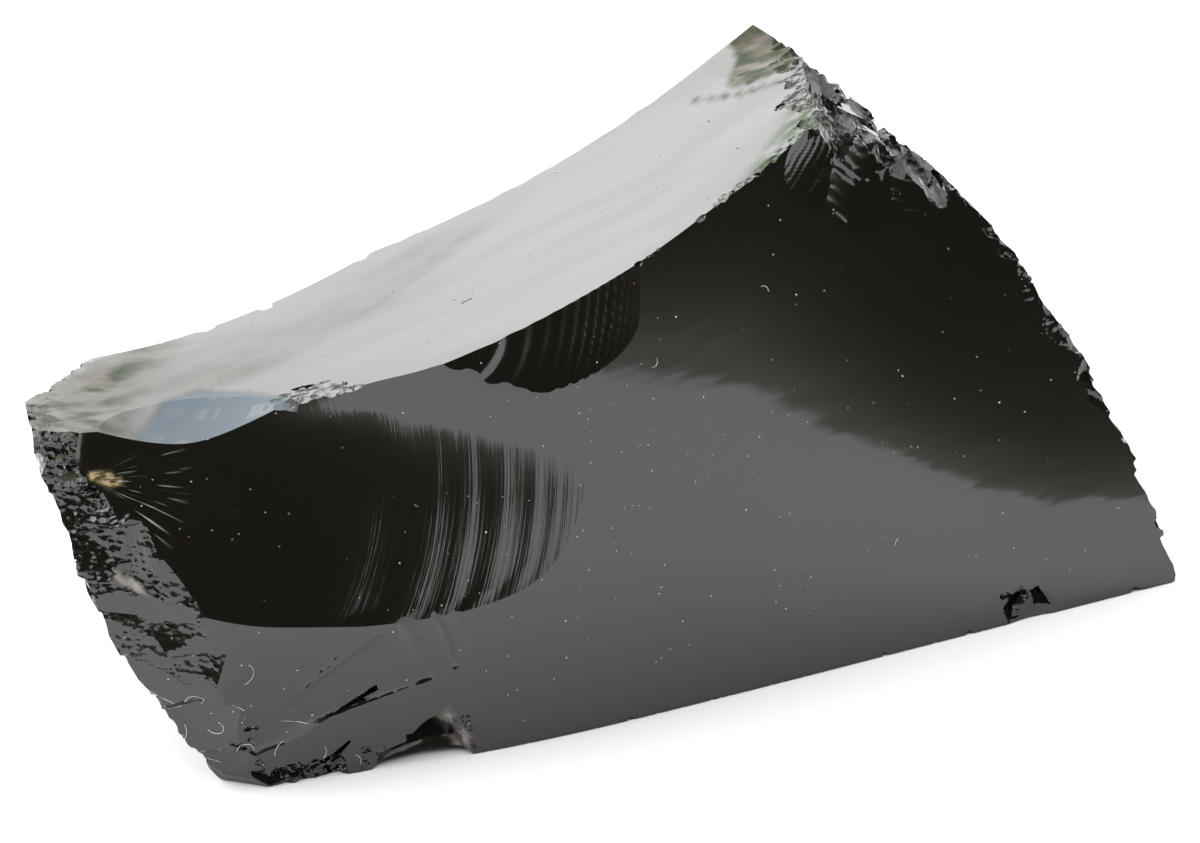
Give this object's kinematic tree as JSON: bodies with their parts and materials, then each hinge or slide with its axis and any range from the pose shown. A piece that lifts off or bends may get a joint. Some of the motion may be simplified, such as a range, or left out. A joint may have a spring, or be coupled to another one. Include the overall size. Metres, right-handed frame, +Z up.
{
  "type": "obsidian chunk",
  "caption": "Knapped block of black volcanic glass with curved shell-shaped breaks, sharp edges and a flat underside to rest on.",
  "frame": {"origin": "centre of the bounding box, on the flat underside", "axes": "+X along the stone's length towards its taller end, +Y from the front break to the back, +Z up"},
  "size_m": [0.1192, 0.0506, 0.0539],
  "materials": {
    "obsidian": "polished, glassy conchoidal breaks with crushed, matt edges"
  },
  "bodies": {
    "root": {"obsidian_chunk": "obsidian"}
  },
  "joints": []
}
